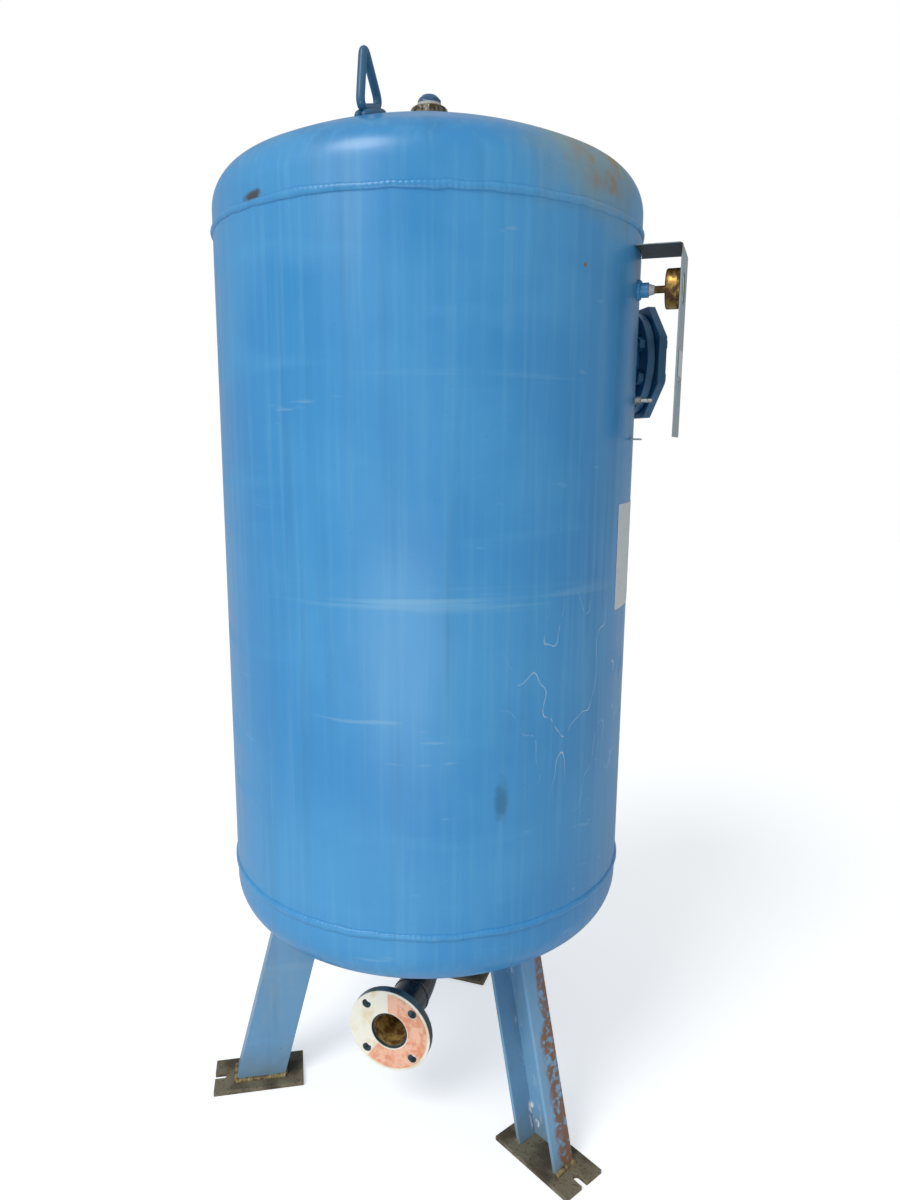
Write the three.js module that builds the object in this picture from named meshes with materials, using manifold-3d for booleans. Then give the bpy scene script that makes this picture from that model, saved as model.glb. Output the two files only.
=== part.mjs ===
// Closed expansion vessel of about 700 litres: a vertical welded steel tank on three splayed channel legs, with a
// bottom inlet elbow and pipe flange, a bolted handhole, a dial pressure gauge behind a bent guard plate, two
// lifting lugs and a plugged top port. Millimetres, +Z up. The tank is built around its own axis, standing on z = 0.
// An azimuth is an angle around that axis, in degrees, from the inlet's side (-Y) towards +X.
import * as THREE from 'three';
import { mergeVertices } from 'three/addons/utils/BufferGeometryUtils.js';
import Module from 'manifold-3d';

const wasm = await Module();
wasm.setup();

// ---- Driving dimensions ----
const GAP = 0.3; // clearance between touching pieces
const ROUND = 60; // facets around the tank

const TANK_R = 400;
const WALL = 6;
const LOW_SEAM_Z = 542;
const HIGH_SEAM_Z = 1747;
const CROWN_R = 2 * TANK_R;
const KNUCKLE_R = 0.2 * TANK_R;
const SKIRT = 35; // straight flange of a head
const BEAD_WIDTH = 10;
const BEAD_HEIGHT = 3.2;

const LUG_R = 264; // distance of a lug from the axis
const LUG_BAR_R = 7;
const LUG_FEET = 82; // width of the loop's base, centre to centre
const LUG_HEIGHT = 87; // height of the loop's corner above its base
const LUG_TIP_BACK = 6; // how far the tip is drawn back towards the axis

const SOCKET_R = 35;
const SOCKET_RISE = 30;
const BUSH_RISE = 51;
const TAPE_RISE = 60;
const PLUG_RISE = 74;
const PLUG_FLATS = 38;

const LEG_AZIMUTHS = { left: -60, right: 60, rear: 180 };
const LEG_FOOT_R = 370.5; // middle of the channel where it meets its plate
const LEG_SPLAY = 14.4;
const CHANNEL = { depth: 100, width: 50, web: 5, flange: 7.5 };
const WEB_FACE = 22; // the web's outer face, from the radial plane
const PLATE = { inner: 279, length: 190, width: 100, thickness: 9, slotWidth: 14, slotDepth: 26 };

const PIPE_R = 38.15; // 65A steel pipe
const PIPE_BORE_R = 33.95;
const ELBOW_R = 95.3; // long-radius elbow
const INLET_Z = 212;
const INLET_FACE = 215; // the flange's face, from the tank's axis
const FLANGE = { r: 87.5, thickness: 18, boltCircleR: 70, holeR: 9.5, bolts: 4 };

const HANDHOLE_AZIMUTH = 120;
const HANDHOLE_Z = 1538;
const NECK_R = 57.15; // 100A steel pipe
const NECK_BORE_R = 51.15;
const NECK_END = 425;
const HAND_FLANGE = { r: 100, start: 414, thickness: 16, boltCircleR: 82.5, holeR: 9.5, bolts: 8 };
const HAND_GASKET = { r: 70, thickness: 3 };
const COVER = { flats: 216, thickness: 16 };
const BOLT = { r: 8, flats: 24, head: 10, nut: 12, tail: 1.5 };

const GAUGE_AZIMUTH = 90;
const GAUGE_Z = 1647;
const BOSS = { r: 13, end: 419 };
const STEM_R = 6.5;
const CASE = { r: 34.5, back: 449, front: 469.5, wall: 1.2, edge: 3 };
const DIAL_X = 462;
const POINTER_LENGTH = 24;
const POINTER_REST = 225; // the pointer's zero, counter-clockwise from 3 o'clock as the dial is read

const BRACKET = { top: 1715, bottom: 1390, outer: 479, thickness: 3, width: 110, shift: 5, bend: 7 };
const WINDOW_R = 28;
const SLOT = { z: 1468, height: 44, width: 22 };

// ---- Geometry helpers ----
const radians = THREE.MathUtils.degToRad;
const vec2 = (x, y) => new THREE.Vector2(x, y);
const vec3 = (x, y, z) => new THREE.Vector3(x, y, z);

// Points on an arc about (cx, cy), from one angle to another, in degrees.
function arc(cx, cy, r, from, to, steps) {
  return Array.from({ length: steps + 1 }, (_, i) => {
    const a = radians(from + ((to - from) * i) / steps);
    return vec2(cx + r * Math.cos(a), cy + r * Math.sin(a));
  });
}

// A body of revolution about Z from an (r, z) profile that runs counter-clockwise and either starts and ends on
// the axis or, when it is a ring, closes on itself.
function turned(profile, segments) {
  const ring = profile.every((p) => p.x > 0);
  const points = ring ? [...profile, profile[0]] : profile;
  return new THREE.LatheGeometry(points, segments).rotateX(Math.PI / 2);
}

// A plain tube about Z, or a plain cylinder when its inner radius is 0.
function tube(inner, outer, from, to, segments) {
  return turned([vec2(inner, from), vec2(outer, from), vec2(outer, to), vec2(inner, to)], segments);
}

// A regular prism about Z, with its flats a given distance apart.
function prism(sides, flats, from, to) {
  const corner = flats / 2 / Math.cos(Math.PI / sides);
  const geometry = tube(0, corner, from, to, sides);
  return geometry.rotateZ(Math.PI / sides);
}

// A round or shaped bar carried along a path.
function bar(shape, path, steps) {
  return new THREE.ExtrudeGeometry(shape, { steps, bevelEnabled: false, extrudePath: path });
}

// A round section for a bar.
function roundSection(r, segments) {
  return new THREE.Shape(arc(0, 0, r, 0, 360, segments).slice(0, segments));
}

// A flat plate from an outline in XY, lifted from z = 0.
function plate(outline, thickness) {
  return new THREE.ExtrudeGeometry(new THREE.Shape(outline), { depth: thickness, bevelEnabled: false, steps: 1 });
}

// Turns a piece made about Z so that it lies along +X, away from the tank's axis.
const outward = (geometry) => geometry.rotateY(Math.PI / 2);

// A block between two corners.
function block(low, high) {
  const size = high.clone().sub(low);
  const middle = low.clone().add(high).multiplyScalar(0.5);
  return new THREE.BoxGeometry(size.x, size.y, size.z).translate(middle.x, middle.y, middle.z);
}

// A three.js geometry as a manifold solid.
function solid(geometry) {
  const bare = new THREE.BufferGeometry();
  bare.setAttribute('position', geometry.getAttribute('position'));
  if (geometry.index) bare.setIndex(geometry.index);
  const merged = mergeVertices(bare, 1e-4);
  const vertProperties = merged.attributes.position.array;
  const triVerts = new Uint32Array(merged.index.array);
  return new wasm.Manifold(new wasm.Mesh({ numProp: 3, vertProperties, triVerts }));
}

// A manifold solid as a three.js geometry.
function shaped(made) {
  const mesh = made.getMesh();
  const geometry = new THREE.BufferGeometry();
  geometry.setAttribute('position', new THREE.BufferAttribute(mesh.vertProperties, 3));
  geometry.setIndex(new THREE.BufferAttribute(mesh.triVerts, 1));
  geometry.computeVertexNormals();
  return geometry;
}

// A geometry with others cut out of it.
const cut = (geometry, ...tools) => shaped(tools.reduce((left, tool) => left.subtract(solid(tool)), solid(geometry)));

// Several geometries joined into one body.
const joined = (...geometries) => shaped(geometries.map(solid).reduce((all, one) => all.add(one)));

// Round holes along Z on a circle, the first half a step round, so that they straddle the centre lines.
function boltHoles({ boltCircleR, holeR, bolts }, from, to) {
  return Array.from({ length: bolts }, (_, i) => {
    const a = (2 * Math.PI * (i + 0.5)) / bolts;
    return tube(0, holeR, from, to, 12).translate(boltCircleR * Math.cos(a), boltCircleR * Math.sin(a), 0);
  });
}

// ---- Materials ----
const finish = (color, roughness, metalness) => new THREE.MeshStandardMaterial({ color, roughness, metalness });
const BLUE = finish(0x3f7fb4, 0.38, 0);
const GREY_BLUE = finish(0x7d979f, 0.45, 0.2);
const RUSTY = finish(0x7a6a50, 0.85, 0.2);
const BLACK_STEEL = finish(0x23282b, 0.5, 0.4);
const FLANGE_STEEL = finish(0x8c9a9c, 0.5, 0.5);
const SALMON = finish(0xe89478, 0.8, 0);
const GALVANISED = finish(0xa9b3b4, 0.45, 0.7);
const OLD_BRASS = finish(0x9a7b32, 0.4, 0.8);
const TAPE = finish(0xf2f2ee, 0.7, 0);
const RUBBER = finish(0x1c1c1d, 0.8, 0);
const DIAL_WHITE = finish(0xf0efe6, 0.6, 0);
const POINTER_BLACK = finish(0x111111, 0.5, 0);
const GLASS = finish(0xdfe8ea, 0.05, 0);
const LABEL = finish(0xd8dcdc, 0.6, 0);

// ---- Scene graph ----
const vessel = new THREE.Group();

// Adds a named mesh to a group, at z.
function add(group, name, geometry, material, z = 0) {
  const mesh = new THREE.Mesh(geometry, material);
  mesh.name = name;
  mesh.position.z = z;
  group.add(mesh);
  return mesh;
}

// A group whose +X points away from the tank's axis at an azimuth, and whose +Y is the next azimuth up.
function station(azimuth, z = 0) {
  const group = new THREE.Group();
  group.rotation.z = radians(azimuth - 90);
  group.position.z = z;
  vessel.add(group);
  return group;
}

// ---- Tank: shell, two torispherical heads and their girth welds ----
const KNUCKLE_X = TANK_R - KNUCKLE_R;
const CROWN_DROP = Math.sqrt((CROWN_R - KNUCKLE_R) ** 2 - KNUCKLE_X ** 2);
const CROWN_RISE = SKIRT - CROWN_DROP + CROWN_R; // a head's height above its seam
const KNUCKLE_END = 90 - THREE.MathUtils.radToDeg(Math.asin(KNUCKLE_X / (CROWN_R - KNUCKLE_R)));

// A head's curve from its seam at z = 0 to a bore round the axis, a given depth inside its outer surface.
function headCurve(depth, bore, knuckleSteps, crownSteps) {
  const crown = CROWN_R - depth;
  const end = bore > 0 ? THREE.MathUtils.radToDeg(Math.acos(bore / crown)) : 90;
  return [
    vec2(TANK_R - depth, GAP / 2),
    ...arc(KNUCKLE_X, SKIRT, KNUCKLE_R - depth, 0, KNUCKLE_END, knuckleSteps),
    ...arc(0, SKIRT - CROWN_DROP, crown, KNUCKLE_END, end, crownSteps).slice(1),
  ];
}

function head(bore) {
  return turned([...headCurve(0, bore, 5, 4), ...headCurve(WALL, bore, 3, 3).reverse()], ROUND);
}

// The space a head and shell fill, a clearance wider, to trim what is welded on to them.
function headEnvelope(clearance) {
  const curve = headCurve(-clearance, 0, 8, 8);
  return turned([vec2(0, -TANK_R), vec2(TANK_R + clearance, -TANK_R), ...curve], 2 * ROUND);
}
const shellEnvelope = () => tube(0, TANK_R + 2 * GAP, 0, HIGH_SEAM_Z + SKIRT, 2 * ROUND);

function girthBead() {
  const inner = TANK_R + GAP;
  const half = BEAD_WIDTH / 2;
  return turned([
    vec2(inner, -half),
    vec2(inner + 0.7 * BEAD_HEIGHT, -0.6 * half),
    vec2(inner + BEAD_HEIGHT, 0),
    vec2(inner + 0.7 * BEAD_HEIGHT, 0.6 * half),
    vec2(inner, half),
  ], ROUND);
}

// A tool that bores through the shell's wall at an azimuth.
function shellBore(azimuth, z, r) {
  return outward(tube(0, r, TANK_R - 60, TANK_R + 10, 28)).rotateZ(radians(azimuth - 90)).translate(0, 0, z);
}

const shellTube = tube(TANK_R - WALL, TANK_R, LOW_SEAM_Z + GAP / 2, HIGH_SEAM_Z - GAP / 2, ROUND);
add(vessel, 'shell', cut(
  shellTube,
  shellBore(HANDHOLE_AZIMUTH, HANDHOLE_Z, NECK_R + 2 * GAP),
  shellBore(GAUGE_AZIMUTH, GAUGE_Z, STEM_R),
), BLUE);
add(vessel, 'top_head', head(SOCKET_R + 2 * GAP), BLUE, HIGH_SEAM_Z);
add(vessel, 'bottom_head', head(PIPE_R + 2 * GAP), BLUE, LOW_SEAM_Z).rotation.x = Math.PI;
add(vessel, 'top_seam_weld', girthBead(), BLUE, HIGH_SEAM_Z);
add(vessel, 'bottom_seam_weld', girthBead(), BLUE, LOW_SEAM_Z);

// ---- Lifting lugs: round bar bent to a triangle, its ends butting at the middle of the base ----
// The loop stands in the XZ plane on the dome's slope, with its tip drawn back towards the tank's axis.
function lugLoop() {
  const base = LUG_BAR_R + 4 * GAP;
  const corners = [
    { at: vec3(LUG_FEET / 2, 0, base), bend: 17 },
    { at: vec3(-LUG_TIP_BACK, 0, base + LUG_HEIGHT), bend: 15 },
    { at: vec3(-LUG_FEET / 2, 0, base), bend: 17 },
  ];
  const path = new THREE.CurvePath();
  let from = vec3(1, 0, base);
  corners.forEach(({ at, bend }, i) => {
    const next = i < 2 ? corners[i + 1].at : vec3(-1, 0, base);
    const into = at.clone().addScaledVector(from.clone().sub(at).normalize(), bend);
    const out = at.clone().addScaledVector(next.clone().sub(at).normalize(), bend);
    path.add(new THREE.LineCurve3(from, into));
    path.add(new THREE.QuadraticBezierCurve3(into, at, out));
    from = out;
  });
  path.add(new THREE.LineCurve3(from, vec3(-1, 0, base)));
  return bar(roundSection(LUG_BAR_R, 8), path, 32);
}

for (const [name, azimuth] of [['front', 0], ['rear', 180]]) {
  const lean = Math.asin(LUG_R / CROWN_R);
  const lug = add(station(azimuth), `lifting_lug_${name}`, lugLoop(), BLUE);
  lug.position.set(LUG_R, 0, HIGH_SEAM_Z + CROWN_RISE - CROWN_R * (1 - Math.cos(lean)));
  lug.rotation.y = lean;
}

// ---- Top port: welded socket, reducing bush, taped thread and hexagon plug ----
const CROWN_Z = HIGH_SEAM_Z + CROWN_RISE;
const BUSH_THREAD_R = 28.5;
const PLUG_THREAD_R = 20.8;

// A hexagon head whose top corners are chamfered by a cone.
function chamferedHex(flats, from, to) {
  const corner = flats / Math.sqrt(3);
  const cone = turned([vec2(0, from - 1), vec2(corner + 1, from - 1), vec2(corner + 1, from + 0.35 * (to - from)),
    vec2(0.36 * flats, to), vec2(0, to)], 24);
  return shaped(solid(prism(6, flats, from, to)).intersect(solid(cone)));
}

add(vessel, 'top_socket', tube(BUSH_THREAD_R + GAP, SOCKET_R, -18, SOCKET_RISE, 36), BLUE, CROWN_Z);
add(vessel, 'top_bush', turned([
  vec2(PLUG_THREAD_R + GAP, 4),
  vec2(BUSH_THREAD_R, 4),
  vec2(BUSH_THREAD_R, SOCKET_RISE + GAP),
  vec2(SOCKET_R - 0.5, SOCKET_RISE + GAP),
  vec2(SOCKET_R - 0.5, BUSH_RISE - 2),
  vec2(SOCKET_R - 3, BUSH_RISE),
  vec2(PLUG_THREAD_R + GAP, BUSH_RISE),
], 36), GALVANISED, CROWN_Z);
add(vessel, 'top_plug_tape', tube(PLUG_THREAD_R + GAP, PLUG_THREAD_R + 2, BUSH_RISE + GAP, TAPE_RISE - GAP, 24),
  TAPE, CROWN_Z);
add(vessel, 'top_plug', joined(
  tube(0, PLUG_THREAD_R, 10, TAPE_RISE + 1, 24),
  chamferedHex(PLUG_FLATS, TAPE_RISE, PLUG_RISE).rotateZ(radians(12)),
), BLUE, CROWN_Z);

// ---- Legs: channels with the web in the radial plane, trimmed to the bottom head, on slotted plates ----
function channelLeg() {
  const { depth, width, web, flange } = CHANNEL;
  const half = depth / 2;
  const section = [vec2(-half, 0), vec2(half, 0), vec2(half, width), vec2(half - flange, width),
    vec2(half - flange, web), vec2(-half + flange, web), vec2(-half + flange, width), vec2(-half, width)];
  const outline = section.map((p) => vec2(p.x, WEB_FACE - p.y)).reverse();
  const length = 480;
  const lean = plate(outline, length).translate(0, 0, -40).rotateY(-radians(LEG_SPLAY));
  lean.translate(LEG_FOOT_R, 0, PLATE.thickness);
  const below = block(vec3(0, -200, -100), vec3(800, 200, PLATE.thickness + GAP));
  const tank = headEnvelope(3 * GAP).rotateX(Math.PI).translate(0, 0, LOW_SEAM_Z);
  return cut(lean, below, tank);
}

function footPlate() {
  const { inner, length, width, thickness, slotWidth, slotDepth } = PLATE;
  const outer = inner + length;
  const half = width / 2;
  const slot = slotWidth / 2;
  const slotEnd = outer - slotDepth + slot;
  return plate([
    vec2(inner, -half),
    vec2(outer, -half),
    vec2(outer, -slot),
    ...arc(slotEnd, 0, slot, -90, -270, 8),
    vec2(outer, slot),
    vec2(outer, half),
    vec2(inner, half),
  ], thickness);
}

for (const [name, azimuth] of Object.entries(LEG_AZIMUTHS)) {
  const place = station(azimuth);
  add(place, `leg_${name}`, channelLeg(), BLUE);
  add(place, `foot_plate_${name}`, footPlate(), RUSTY);
}

// ---- Inlet: stub, long-radius elbow, spool and slip-on flange, with the rest of a torn gasket ----
const ELBOW_TOP_Z = INLET_Z + ELBOW_R;
const inlet = station(0, INLET_Z);
add(vessel, 'inlet_stub', tube(PIPE_BORE_R, PIPE_R, ELBOW_TOP_Z + GAP, LOW_SEAM_Z - CROWN_RISE + 22, 24), BLUE);

class ElbowPath extends THREE.Curve {
  getPoint(t, target = new THREE.Vector3()) {
    const a = (t * Math.PI) / 2;
    return target.set(ELBOW_R * (1 - Math.cos(a)), 0, ELBOW_R * (1 - Math.sin(a)));
  }
}
const pipeSection = roundSection(PIPE_R, 20);
pipeSection.holes.push(new THREE.Path(arc(0, 0, PIPE_BORE_R, 0, 360, 20).slice(0, 20).reverse()));
add(inlet, 'inlet_elbow', bar(pipeSection, new ElbowPath(), 9), BLACK_STEEL);
add(inlet, 'inlet_spool', outward(tube(PIPE_BORE_R, PIPE_R, ELBOW_R + GAP, INLET_FACE - 4, 20)), BLACK_STEEL);
add(inlet, 'inlet_flange', outward(cut(
  tube(PIPE_R + 2 * GAP, FLANGE.r, INLET_FACE - FLANGE.thickness, INLET_FACE, 40),
  ...boltHoles(FLANGE, INLET_FACE - 50, INLET_FACE + 50),
)), FLANGE_STEEL);

// The sheet covers the half of the face on the gauge's side and ends below the bore.
function gasketRemnant() {
  const outer = FLANGE.r - 6;
  const inner = PIPE_R + 3;
  const sheet = plate([...arc(0, 0, outer, -126, 92, 24), ...arc(0, 0, inner, 92, -126, 16)], 0.8);
  return cut(sheet, ...boltHoles({ ...FLANGE, holeR: FLANGE.holeR + 1 }, -5, 5)).rotateZ(Math.PI / 2)
    .translate(0, 0, INLET_FACE + GAP);
}
add(inlet, 'inlet_gasket_remnant', outward(gasketRemnant()), SALMON);

// ---- Handhole: neck, flange, ring gasket, eight-sided cover and its bolts ----
const handhole = station(HANDHOLE_AZIMUTH, HANDHOLE_Z);
const FLANGE_END = HAND_FLANGE.start + HAND_FLANGE.thickness;
const COVER_START = FLANGE_END + HAND_GASKET.thickness;
const COVER_END = COVER_START + COVER.thickness;
const holesBetween = (from, to) => boltHoles(HAND_FLANGE, from, to);

add(handhole, 'handhole_neck', outward(tube(NECK_BORE_R, NECK_R, TANK_R - 16, NECK_END, 28)), BLUE);
add(handhole, 'handhole_flange', outward(cut(
  tube(NECK_R + 2 * GAP, HAND_FLANGE.r, HAND_FLANGE.start, FLANGE_END, 36),
  ...holesBetween(HAND_FLANGE.start - 5, FLANGE_END + 5),
)), BLUE);
add(handhole, 'handhole_gasket', outward(tube(NECK_R + 1, HAND_GASKET.r, FLANGE_END + GAP, COVER_START - GAP, 28)),
  RUBBER);
add(handhole, 'handhole_cover', outward(cut(
  prism(8, COVER.flats, COVER_START, COVER_END),
  ...holesBetween(COVER_START - 5, COVER_END + 5),
)), BLUE);

for (let i = 0; i < HAND_FLANGE.bolts; i++) {
  const a = (2 * Math.PI * (i + 0.5)) / HAND_FLANGE.bolts;
  const nutEnd = HAND_FLANGE.start - GAP;
  const nutStart = nutEnd - BOLT.nut;
  const headStart = COVER_END + GAP;
  const bolt = joined(
    tube(0, BOLT.r, nutStart - BOLT.tail, headStart + 1, 12),
    prism(6, BOLT.flats, headStart, headStart + BOLT.head),
  );
  const nut = cut(prism(6, BOLT.flats, nutStart, nutEnd), tube(0, BOLT.r + 2 * GAP, nutStart - 5, nutEnd + 5, 12));
  for (const [name, geometry] of [['bolt', bolt], ['nut', nut]]) {
    const mesh = add(handhole, `handhole_${name}_${i + 1}`, outward(geometry), BLUE);
    mesh.position.set(0, HAND_FLANGE.boltCircleR * Math.sin(a), -HAND_FLANGE.boltCircleR * Math.cos(a));
  }
}

// ---- Pressure gauge, screwed into a boss on the shell ----
const gauge = station(GAUGE_AZIMUTH, GAUGE_Z);
const TAPE_END = 429;
const STEM_TIP = 454;
add(gauge, 'gauge_boss', cut(
  outward(tube(STEM_R + GAP, BOSS.r, TANK_R - 5, BOSS.end, 24)),
  shellEnvelope().translate(0, 0, -GAUGE_Z),
), BLUE);
add(gauge, 'gauge_tape', outward(turned([
  vec2(STEM_R + GAP, BOSS.end + GAP),
  vec2(STEM_R + 4, BOSS.end + GAP),
  vec2(STEM_R + 1, TAPE_END),
  vec2(STEM_R + GAP, TAPE_END),
], 20)), TAPE);
add(gauge, 'gauge_stem', outward(turned([
  vec2(2.5, BOSS.end - 14),
  vec2(STEM_R, BOSS.end - 14),
  vec2(STEM_R, CASE.back + CASE.wall + GAP),
  vec2(9, CASE.back + CASE.wall + GAP),
  vec2(9, STEM_TIP),
  vec2(2.5, STEM_TIP),
], 20)), OLD_BRASS);
add(gauge, 'gauge_case', outward(turned([
  vec2(STEM_R + GAP, CASE.back),
  ...arc(CASE.r - CASE.edge, CASE.back + CASE.edge, CASE.edge, -90, 0, 3),
  vec2(CASE.r, CASE.front),
  vec2(CASE.r - CASE.wall, CASE.front),
  vec2(CASE.r - CASE.wall, CASE.back + CASE.edge),
  vec2(CASE.r - CASE.edge, CASE.back + CASE.wall),
  vec2(STEM_R + GAP, CASE.back + CASE.wall),
], 28)), OLD_BRASS);
const GLASS_X = CASE.front + 1.5;
const GLASS_R = CASE.r - 3.2;
const BEZEL_FRONT = CASE.front + 5.8;
add(gauge, 'gauge_bezel', outward(turned([
  vec2(GLASS_R + 2 * GAP, CASE.front + GAP),
  vec2(CASE.r, CASE.front + GAP),
  vec2(CASE.r, BEZEL_FRONT - 1.5),
  vec2(CASE.r - 1.5, BEZEL_FRONT),
  vec2(GLASS_R - 1.5, BEZEL_FRONT),
  vec2(GLASS_R - 1.5, GLASS_X + 2 + GAP),
  vec2(GLASS_R + 2 * GAP, GLASS_X + 2 + GAP),
], 28)), OLD_BRASS);
add(gauge, 'gauge_window', outward(tube(0, GLASS_R, GLASS_X, GLASS_X + 2, 28)), GLASS);
add(gauge, 'gauge_dial', outward(tube(1.8, CASE.r - 2, DIAL_X, DIAL_X + 0.8, 28)), DIAL_WHITE);

// The C-shaped spring tube that pressure opens, from the stem's block round to its free end.
class BourdonPath extends THREE.Curve {
  getPoint(t, target = new THREE.Vector3()) {
    const a = radians(-80 + 250 * t);
    return target.set(0, 22 * Math.cos(a), 22 * Math.sin(a));
  }
}
const flatTube = new THREE.Shape(arc(0, 0, 1, 0, 360, 8).slice(0, 8).map((p) => vec2(3.2 * p.x, 1.4 * p.y)));
add(gauge, 'gauge_bourdon_tube', bar(flatTube, new BourdonPath(), 18).translate(456.5, 0, 0), OLD_BRASS);
add(gauge, 'gauge_movement', cut(
  block(vec3(STEM_TIP + GAP, -13, -8), vec3(459.5, 13, 8)),
  outward(tube(0, 1.8, STEM_TIP + 4, 465, 12)),
), OLD_BRASS);

// Pointer: a tapering needle with a counterweight tail, on a hub and arbor, turned to its zero.
const NEEDLE = { back: DIAL_X + 2.6, thickness: 0.6, tail: 8 };
const needle = plate([
  vec2(-NEEDLE.tail, -2.2),
  vec2(0, -1.6),
  vec2(POINTER_LENGTH, -0.35),
  vec2(POINTER_LENGTH, 0.35),
  vec2(0, 1.6),
  vec2(-NEEDLE.tail, 2.2),
], NEEDLE.thickness).rotateZ(radians(POINTER_REST)).translate(0, 0, NEEDLE.back);
// The dial's plane faces +X with +Y to its right and +Z up.
const faceOn = new THREE.Matrix4().makeBasis(vec3(0, 1, 0), vec3(0, 0, 1), vec3(1, 0, 0));
add(gauge, 'gauge_pointer', joined(
  needle,
  tube(0, 3, NEEDLE.back - 0.8, NEEDLE.back + 1.4, 16),
  tube(0, 1.2, STEM_TIP + 5, NEEDLE.back, 12),
).applyMatrix4(faceOn), POINTER_BLACK);

// ---- Guard plate: a bent strip whose arm is welded to the shell and whose panel hangs in front of the gauge ----
const guard = station(GAUGE_AZIMUTH);
function guardPlate() {
  const { top, bottom, outer, thickness, width, shift, bend } = BRACKET;
  const inner = outer - thickness;
  const profile = [
    vec2(TANK_R - 30, top - thickness),
    ...arc(outer - bend, top - bend, bend - thickness, 90, 0, 4),
    vec2(inner, bottom),
    vec2(outer, bottom),
    ...arc(outer - bend, top - bend, bend, 0, 90, 4),
    vec2(TANK_R - 30, top),
  ];
  // The outline is drawn in x and height, then the strip is laid from its near edge to its far one.
  const strip = plate(profile, width).rotateX(Math.PI / 2).translate(0, shift + width / 2, 0);
  const slotLow = vec3(inner - 5, shift - SLOT.width / 2, SLOT.z - SLOT.height / 2);
  const slotHigh = vec3(outer + 5, shift + SLOT.width / 2, SLOT.z + SLOT.height / 2);
  return cut(
    strip,
    shellEnvelope(),
    outward(tube(0, WINDOW_R, inner - 5, outer + 5, 40)).translate(0, 0, GAUGE_Z),
    block(slotLow, slotHigh),
  );
}
add(guard, 'guard_plate', guardPlate(), GREY_BLUE);
const NAMEPLATE = { low: 1496, high: 1541, width: 80 };
add(guard, 'guard_nameplate', block(
  vec3(BRACKET.outer + GAP, BRACKET.shift - NAMEPLATE.width / 2, NAMEPLATE.low),
  vec3(BRACKET.outer + 1.2, BRACKET.shift + NAMEPLATE.width / 2, NAMEPLATE.high),
), LABEL);

// ---- Small things welded or stuck to the shell near the gauge ----
const STUD_AZIMUTH = 92;
const STUD_Z = 1456;
const stud = station(STUD_AZIMUTH, STUD_Z);
const STUD_R = 4;
add(stud, 'earth_stud', outward(tube(0, STUD_R, TANK_R + GAP, TANK_R + 33, 12)), GALVANISED);
add(stud, 'earth_nut', outward(cut(
  prism(6, 13, TANK_R + 2, TANK_R + 12),
  tube(0, STUD_R + 2 * GAP, TANK_R, TANK_R + 14, 12),
)), GALVANISED);

const TAB_AZIMUTH = 90;
const TAB_Z = 1386;
add(station(TAB_AZIMUTH, TAB_Z), 'support_tab', cut(
  block(vec3(TANK_R - 20, -24, -1.5), vec3(TANK_R + 16, 24, 1.5)),
  shellEnvelope().translate(0, 0, -TAB_Z),
), GREY_BLUE);

// A sheet wrapped on the shell between two azimuths.
const WRAP = { from: 79, to: 101, low: 1078, high: 1271 };
function wrappedLabel() {
  const inner = TANK_R + GAP;
  const sheet = plate([
    ...arc(0, 0, inner + 0.6, WRAP.from - 90, WRAP.to - 90, 8),
    ...arc(0, 0, inner, WRAP.to - 90, WRAP.from - 90, 8),
  ], WRAP.high - WRAP.low);
  return sheet.translate(0, 0, WRAP.low);
}
add(vessel, 'shell_label', wrappedLabel(), LABEL);

// ---- Inside: a rubber bladder for the water, held to the bottom head by a ring round the inlet ----
const BLADDER_WALL = 3;
const BLADDER_R = 330;
const NECK_Z = LOW_SEAM_Z - CROWN_RISE + 30;
// The bag's curve from its neck up to its top, a given depth inside its outer surface.
function bladderCurve(depth) {
  const low = NECK_Z + 190;
  const high = 1180;
  return [
    vec2(30 - depth, NECK_Z),
    vec2(30 - depth, NECK_Z + 26),
    vec2(200, NECK_Z + 62 + depth),
    vec2(BLADDER_R - 40 - depth, NECK_Z + 110),
    vec2(BLADDER_R - depth, low),
    vec2(BLADDER_R - depth, high - 150),
    vec2(BLADDER_R - 70 - depth, high - 50 - depth),
    vec2(150, high - 12 - depth),
    vec2(0, high - depth),
  ];
}
const bladderProfile = [...bladderCurve(BLADDER_WALL).reverse(), ...bladderCurve(0)];
add(vessel, 'bladder', turned(bladderProfile, 28), RUBBER);
add(vessel, 'bladder_ring', tube(30 + 2 * GAP, 62, NECK_Z + 2, NECK_Z + 10, 24), GALVANISED);

// ---- The frame: +Z up, origin on the floor at the middle of the whole footprint ----
const assembly = new THREE.Group();
assembly.add(vessel);
assembly.updateMatrixWorld(true);
const extent = new THREE.Box3().setFromObject(assembly, true);
const middle = extent.getCenter(new THREE.Vector3());
vessel.position.set(-middle.x, -middle.y, -extent.min.z);

export default assembly;
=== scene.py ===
import math

import bmesh
import bpy
import numpy as np
from mathutils import Matrix, Vector


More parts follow.
